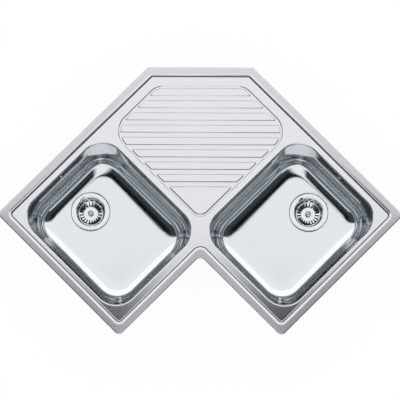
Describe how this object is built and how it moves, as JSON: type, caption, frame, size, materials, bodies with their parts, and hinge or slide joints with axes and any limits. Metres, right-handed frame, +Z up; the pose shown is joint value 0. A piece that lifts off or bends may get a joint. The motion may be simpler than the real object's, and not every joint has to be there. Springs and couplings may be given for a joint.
{
  "type": "corner kitchen sink",
  "caption": "Inset corner sink in stainless steel: a deep bowl in each leg, a grooved drainer across the corner, basket wastes with overflows, rim seal and worktop clamps.",
  "frame": {"origin": "middle of the rim's back edge, on the plane of the worktop's top, under the seal", "axes": "+Z up out of the worktop, +X to the right along the back edge, +Y from the room towards the corner of the walls"},
  "size_m": [1.1612, 0.7808, 0.2625],
  "materials": {
    "deck_steel": "satin",
    "polished_steel": "polished",
    "zinc_plated_steel": "zinc plated",
    "black_rubber": "matte",
    "seal_foam": "foam strip",
    "bitumen_pad": "matte",
    "waste_plastic": "moulded",
    "hose_plastic": "ribbed"
  },
  "bodies": {
    "sink": {"deck": "deck_steel", "rim_seal": "seal_foam", "sound_pads": "bitumen_pad", "clamp_brackets": "zinc_plated_steel", "clamp_pins": "zinc_plated_steel", "left_bowl": "deck_steel", "left_waste_cup": "polished_steel", "left_waste_upper_gasket": "black_rubber", "left_waste_lower_gasket": "black_rubber", "left_waste_body": "waste_plastic", "left_waste_screw": "polished_steel", "left_overflow_housing": "waste_plastic", "left_overflow_gasket": "black_rubber", "left_overflow_screw": "polished_steel", "left_overflow_hose": "hose_plastic", "left_overflow_hose_clips": "waste_plastic", "right_bowl": "deck_steel", "right_waste_cup": "polished_steel", "right_waste_upper_gasket": "black_rubber", "right_waste_lower_gasket": "black_rubber", "right_waste_body": "waste_plastic", "right_waste_screw": "polished_steel", "right_overflow_housing": "waste_plastic", "right_overflow_gasket": "black_rubber", "right_overflow_screw": "polished_steel", "right_overflow_hose": "hose_plastic", "right_overflow_hose_clips": "waste_plastic"},
    "left_basket": {"left_basket": "polished_steel", "left_basket_plug_seal": "black_rubber", "left_basket_knob": "polished_steel"},
    "right_basket": {"right_basket": "polished_steel", "right_basket_plug_seal": "black_rubber", "right_basket_knob": "polished_steel"},
    "clamp_claw_01": {"clamp_claw_01": "zinc_plated_steel"},
    "clamp_screw_01": {"clamp_screw_01": "zinc_plated_steel"},
    "clamp_claw_02": {"clamp_claw_02": "zinc_plated_steel"},
    "clamp_screw_02": {"clamp_screw_02": "zinc_plated_steel"},
    "clamp_claw_03": {"clamp_claw_03": "zinc_plated_steel"},
    "clamp_screw_03": {"clamp_screw_03": "zinc_plated_steel"},
    "clamp_claw_04": {"clamp_claw_04": "zinc_plated_steel"},
    "clamp_screw_04": {"clamp_screw_04": "zinc_plated_steel"},
    "clamp_claw_05": {"clamp_claw_05": "zinc_plated_steel"},
    "clamp_screw_05": {"clamp_screw_05": "zinc_plated_steel"},
    "clamp_claw_06": {"clamp_claw_06": "zinc_plated_steel"},
    "clamp_screw_06": {"clamp_screw_06": "zinc_plated_steel"},
    "clamp_claw_07": {"clamp_claw_07": "zinc_plated_steel"},
    "clamp_screw_07": {"clamp_screw_07": "zinc_plated_steel"},
    "clamp_claw_08": {"clamp_claw_08": "zinc_plated_steel"},
    "clamp_screw_08": {"clamp_screw_08": "zinc_plated_steel"},
    "clamp_claw_09": {"clamp_claw_09": "zinc_plated_steel"},
    "clamp_screw_09": {"clamp_screw_09": "zinc_plated_steel"},
    "clamp_claw_10": {"clamp_claw_10": "zinc_plated_steel"},
    "clamp_screw_10": {"clamp_screw_10": "zinc_plated_steel"},
    "clamp_claw_11": {"clamp_claw_11": "zinc_plated_steel"},
    "clamp_screw_11": {"clamp_screw_11": "zinc_plated_steel"},
    "clamp_claw_12": {"clamp_claw_12": "zinc_plated_steel"},
    "clamp_screw_12": {"clamp_screw_12": "zinc_plated_steel"}
  },
  "joints": [
    {"name": "left_basket_lift", "type": "slide", "parent": "sink", "child": "left_basket", "axis": [0, 0, 1], "range_m": [0, 0.24]},
    {"name": "right_basket_lift", "type": "slide", "parent": "sink", "child": "right_basket", "axis": [0, 0, 1], "range_m": [0, 0.24]},
    {"name": "clamp_claw_01_pivot", "type": "hinge", "parent": "sink", "child": "clamp_claw_01", "pos_m": [-0.085, -0.022, -0.02], "axis": [-1, 0, 0], "range_deg": [0, 35]},
    {"name": "clamp_screw_01_run", "type": "slide", "parent": "clamp_claw_01", "child": "clamp_screw_01", "axis": [0, 0, -1], "range_m": [0, 0.0043]},
    {"name": "clamp_claw_02_pivot", "type": "hinge", "parent": "sink", "child": "clamp_claw_02", "pos_m": [0.085, -0.022, -0.02], "axis": [-1, 0, 0], "range_deg": [0, 35]},
    {"name": "clamp_screw_02_run", "type": "slide", "parent": "clamp_claw_02", "child": "clamp_screw_02", "axis": [0, 0, -1], "range_m": [0, 0.0043]},
    {"name": "clamp_claw_03_pivot", "type": "hinge", "parent": "sink", "child": "clamp_claw_03", "pos_m": [-0.21779, -0.09546, -0.02], "axis": [-0.7071, -0.7071, 0], "range_deg": [0, 35]},
    {"name": "clamp_screw_03_run", "type": "slide", "parent": "clamp_claw_03", "child": "clamp_screw_03", "axis": [0, 0, -1], "range_m": [0, 0.0043]},
    {"name": "clamp_claw_04_pivot", "type": "hinge", "parent": "sink", "child": "clamp_claw_04", "pos_m": [-0.5077, -0.38537, -0.02], "axis": [-0.7071, -0.7071, 0], "range_deg": [0, 35]},
    {"name": "clamp_screw_04_run", "type": "slide", "parent": "clamp_claw_04", "child": "clamp_screw_04", "axis": [0, 0, -1], "range_m": [0, 0.0043]},
    {"name": "clamp_claw_05_pivot", "type": "hinge", "parent": "sink", "child": "clamp_claw_05", "pos_m": [-0.49356, -0.49568, -0.02], "axis": [0.7071, -0.7071, 0], "range_deg": [0, 35]},
    {"name": "clamp_screw_05_run", "type": "slide", "parent": "clamp_claw_05", "child": "clamp_screw_05", "axis": [0, 0, -1], "range_m": [0, 0.0043]},
    {"name": "clamp_claw_06_pivot", "type": "hinge", "parent": "sink", "child": "clamp_claw_06", "pos_m": [-0.29557, -0.69367, -0.02], "axis": [0.7071, -0.7071, 0], "range_deg": [0, 35]},
    {"name": "clamp_screw_06_run", "type": "slide", "parent": "clamp_claw_06", "child": "clamp_screw_06", "axis": [0, 0, -1], "range_m": [0, 0.0043]},
    {"name": "clamp_claw_07_pivot", "type": "hinge", "parent": "sink", "child": "clamp_claw_07", "pos_m": [-0.13223, -0.65478, -0.02], "axis": [0.7071, 0.7071, 0], "range_deg": [0, 35]},
    {"name": "clamp_screw_07_run", "type": "slide", "parent": "clamp_claw_07", "child": "clamp_screw_07", "axis": [0, 0, -1], "range_m": [0, 0.0043]},
    {"name": "clamp_claw_08_pivot", "type": "hinge", "parent": "sink", "child": "clamp_claw_08", "pos_m": [0.21779, -0.09546, -0.02], "axis": [-0.7071, 0.7071, 0], "range_deg": [0, 35]},
    {"name": "clamp_screw_08_run", "type": "slide", "parent": "clamp_claw_08", "child": "clamp_screw_08", "axis": [0, 0, -1], "range_m": [0, 0.0043]},
    {"name": "clamp_claw_09_pivot", "type": "hinge", "parent": "sink", "child": "clamp_claw_09", "pos_m": [0.5077, -0.38537, -0.02], "axis": [-0.7071, 0.7071, 0], "range_deg": [0, 35]},
    {"name": "clamp_screw_09_run", "type": "slide", "parent": "clamp_claw_09", "child": "clamp_screw_09", "axis": [0, 0, -1], "range_m": [0, 0.0043]},
    {"name": "clamp_claw_10_pivot", "type": "hinge", "parent": "sink", "child": "clamp_claw_10", "pos_m": [0.49356, -0.49568, -0.02], "axis": [0.7071, 0.7071, 0], "range_deg": [0, 35]},
    {"name": "clamp_screw_10_run", "type": "slide", "parent": "clamp_claw_10", "child": "clamp_screw_10", "axis": [0, 0, -1], "range_m": [0, 0.0043]},
    {"name": "clamp_claw_11_pivot", "type": "hinge", "parent": "sink", "child": "clamp_claw_11", "pos_m": [0.29557, -0.69367, -0.02], "axis": [0.7071, 0.7071, 0], "range_deg": [0, 35]},
    {"name": "clamp_screw_11_run", "type": "slide", "parent": "clamp_claw_11", "child": "clamp_screw_11", "axis": [0, 0, -1], "range_m": [0, 0.0043]},
    {"name": "clamp_claw_12_pivot", "type": "hinge", "parent": "sink", "child": "clamp_claw_12", "pos_m": [0.13223, -0.65478, -0.02], "axis": [0.7071, -0.7071, 0], "range_deg": [0, 35]},
    {"name": "clamp_screw_12_run", "type": "slide", "parent": "clamp_claw_12", "child": "clamp_screw_12", "axis": [0, 0, -1], "range_m": [0, 0.0043]}
  ],
  "couplings": [
    {"joint": "clamp_screw_01_run", "follows": "clamp_claw_01_pivot", "m_per_rad": 0.007},
    {"joint": "clamp_screw_02_run", "follows": "clamp_claw_02_pivot", "m_per_rad": 0.007},
    {"joint": "clamp_screw_03_run", "follows": "clamp_claw_03_pivot", "m_per_rad": 0.007},
    {"joint": "clamp_screw_04_run", "follows": "clamp_claw_04_pivot", "m_per_rad": 0.007},
    {"joint": "clamp_screw_05_run", "follows": "clamp_claw_05_pivot", "m_per_rad": 0.007},
    {"joint": "clamp_screw_06_run", "follows": "clamp_claw_06_pivot", "m_per_rad": 0.007},
    {"joint": "clamp_screw_07_run", "follows": "clamp_claw_07_pivot", "m_per_rad": 0.007},
    {"joint": "clamp_screw_08_run", "follows": "clamp_claw_08_pivot", "m_per_rad": 0.007},
    {"joint": "clamp_screw_09_run", "follows": "clamp_claw_09_pivot", "m_per_rad": 0.007},
    {"joint": "clamp_screw_10_run", "follows": "clamp_claw_10_pivot", "m_per_rad": 0.007},
    {"joint": "clamp_screw_11_run", "follows": "clamp_claw_11_pivot", "m_per_rad": 0.007},
    {"joint": "clamp_screw_12_run", "follows": "clamp_claw_12_pivot", "m_per_rad": 0.007}
  ]
}
